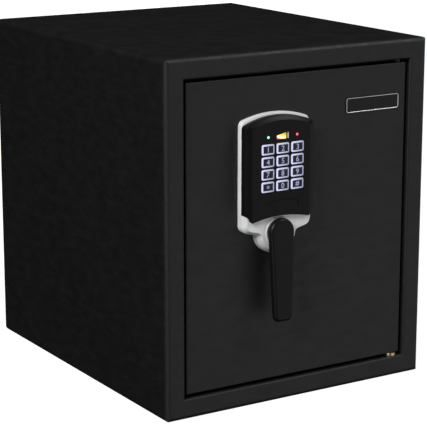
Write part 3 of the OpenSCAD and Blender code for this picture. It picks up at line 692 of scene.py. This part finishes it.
def make_plate():
    """A blank plate: dark enamel field inside a raised bright border."""
    cx, cz, w, h = place("nameplate")
    loop = rounded(w, h, 3, cx, cz)
    shape = Shape()
    made = shape.loft([ring(loop, 0), ring(loop, -0.9), ring(inset(loop, 0.15), -1.12),
                       ring(inset(loop, 0.35), -1.2)], start=True, end=False)
    edge = [shape.add_ring(ring(inset(loop, d), y)) for d, y in ((0.95, -1.2), (1.15, -1.05), (1.25, -0.8))]
    shape.skin(made[-1], edge[0], 1)
    shape.skin(edge[0], edge[1], 1)
    shape.skin(edge[1], edge[2], 0)
    shape.face(edge[2], 0)
    shape.make("blank_plate", "door", ["enamel", "bright"], ["nameplate"])


def make_gasket():
    """The door's seal: a soft bulb on a flat foot, all the way round the plug."""
    low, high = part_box("door_gasket")
    cx, cz, w, h = place("door_gasket")
    foot_y, tip_y = (low.y - DOOR_Y) / MM, (high.y - DOOR_Y) / MM
    loop = rounded(w, h, 14, cx, cz, 10)
    profile = [(0, foot_y), (0, foot_y + 0.9), (0.5, foot_y + 1.2), (0.35, foot_y + 2.2), (0.8, tip_y - 0.9),
               (1.6, tip_y - 0.25), (2.5, tip_y), (3.4, tip_y - 0.25), (4.2, tip_y - 0.9),
               (4.65, foot_y + 2.2), (4.5, foot_y + 1.2), (5, foot_y + 0.9), (5, foot_y)]
    rings = [ring(inset(loop, d), y) for d, y in profile]
    shape = Shape()
    shape.loft(rings + [rings[0]], start=False, end=False)
    shape.make("seal", "door", ["rubber"], ["door_gasket"], 50)


# ---------------------------------------------------------------- CAD pieces that keep their shape
def dress(node, material):
    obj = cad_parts[node]
    obj.data.materials.clear()
    obj.data.materials.append(M[material])
    obj.data.shade_smooth()
    obj.data.set_sharp_from_angle(angle=math.radians(28))


KEPT = {
    "coat": ["outer_shell", "back_panel", "door_panel"],
    "liner": ["jamb_frame", "inner_liner", "shelf_rails", "shelf", "door_liner", "door_cover",
              "battery_tray"],
    "fill": ["cabinet_insulation", "door_insulation"],
    "steel": ["strike_plate", "strike_box", "hinge_brackets", "hinge_plates", "lock_base_plate",
              "guide_posts", "cover_screws", "spindle", "lock_cam", "spindle_clip", "bolt_carrier",
              "carrier_pin", "plunger_spring", "battery_contacts"],
    "pin": ["hinge_pins"],
    "bolt": ["fixed_bolts", "locking_bolts", "solenoid_plunger"],
    "brass": ["hinge_washer", "spindle_bushing"],
    "mat": ["key_mat"],
    "board": ["keypad_board"],
    "cell": ["batteries"],
    "wrap": ["solenoid_body"],
    "cable": ["keypad_cable"],
}

for kept_material, kept_nodes in KEPT.items():
    for kept in kept_nodes:
        dress(kept, kept_material)

make_bezel()
make_housing()
make_battery_cover()
for key_name in KEYS:
    make_key(key_name)
make_window()
make_lamps()
make_lever()
make_collar()
make_plate()
make_gasket()


# ---------------------------------------------------------------- stage
def stage_mesh(name, points, faces, material):
    mesh = bpy.data.meshes.new(name)
    mesh.from_pydata(points, [], faces)
    mesh.materials.append(material)
    mesh.shade_smooth()
    obj = bpy.data.objects.new(name, mesh)
    bpy.context.scene.collection.objects.link(obj)
    return obj


def make_studio():
    """A pale floor that curves up into a wall all round. It gives off most of its own brightness, and
    doesn't light or colour the safe, which the soft boxes do."""
    pale, _, shader = new_material("studio_pale", (0.3, 0.3, 0.3), 0.9, specular=0.0)
    shader.inputs["Emission Color"].default_value = (1, 1, 1, 1)
    shader.inputs["Emission Strength"].default_value = 0.93
    steps, flat_r, curve_r, wall_z = 72, 3.2, 1.2, 4.2
    profile = [(0.001, 0.0), (flat_r, 0.0)]
    profile += [(flat_r + curve_r * math.sin(a), curve_r - curve_r * math.cos(a))
                for a in (math.radians(10 * i) for i in range(1, 10))] + [(flat_r + curve_r, wall_z)]
    points = []
    for r, z in profile:
        points += [(r * math.cos(2 * math.pi * i / steps), r * math.sin(2 * math.pi * i / steps), z)
                   for i in range(steps)]
    faces = []
    for k in range(len(profile) - 1):
        for i in range(steps):
            j = (i + 1) % steps
            faces.append((k * steps + i, k * steps + j, (k + 1) * steps + j, (k + 1) * steps + i))
    floor = stage_mesh("studio", points, faces, pale)
    floor.visible_glossy = False
    floor.visible_diffuse = False
    floor.visible_shadow = False
    world = bpy.data.worlds.new("studio_world")
    world.use_nodes = True
    world.node_tree.nodes["Background"].inputs["Color"].default_value = (1, 1, 1, 1)
    world.node_tree.nodes["Background"].inputs["Strength"].default_value = 0.009
    bpy.context.scene.world = world
    bpy.context.scene.view_settings.view_transform = "Standard"


# Soft boxes as name, place, the point they face, side and power.
LIGHTS = [
    ("key", (-2.9, -1.45, 2.6), (0, 0, 0.2), 1.6, 172),
    ("front", (2.1, -3.7, -0.9), (0, -0.2, 0.2), 4.6, 48),
    ("top", (1.35, -1.25, 2.0), (0, -0.2, 0.3), 0.9, 22),
    ("side", (2.7, 0.1, -0.1), (0, 0, 0.2), 2.0, 8),
    ("low", (-1.9, -1.6, -0.3), (0, -0.2, 0.2), 1.2, 8),
    ("rear", (1.6, 3.0, -0.5), (0, 0, 0.2), 1.4, 30),
]


def area_light(name, at, target, size, power):
    light = bpy.data.lights.new(name, "AREA")
    light.shape = "RECTANGLE"
    light.size = size
    light.size_y = size
    light.energy = power
    obj = bpy.data.objects.new(name, light)
    obj.location = at
    obj.rotation_euler = (Vector(target) - Vector(at)).to_track_quat("-Z", "Y").to_euler()
    bpy.context.scene.collection.objects.link(obj)
    obj.visible_camera = False


CAMERA_AT = (-1.0663, -1.7276, 0.6588)
CAMERA_TURN = (-32.011, 13.421, 0.021)  # azimuth, elevation and roll, in degrees
LENS = 143.5


def make_camera():
    """A long lens, left of the front and a little above, looking at the whole safe."""
    cam = bpy.data.cameras.new("camera")
    cam.sensor_width = 36
    cam.lens = LENS
    obj = bpy.data.objects.new("camera", cam)
    az, el, roll = (math.radians(a) for a in CAMERA_TURN)
    back = Vector((math.sin(az) * math.cos(el), -math.cos(az) * math.cos(el), math.sin(el)))
    side = back.cross(Vector((0, 0, -1))).normalized()
    up = side.cross(-back)
    right = math.cos(roll) * side + math.sin(roll) * up
    top = -math.sin(roll) * side + math.cos(roll) * up
    obj.rotation_euler = Matrix((right, top, back)).transposed().to_euler()
    obj.location = CAMERA_AT
    bpy.context.scene.collection.objects.link(obj)
    bpy.context.scene.camera = obj


make_studio()
for soft_box in LIGHTS:
    area_light(*soft_box)
make_camera()
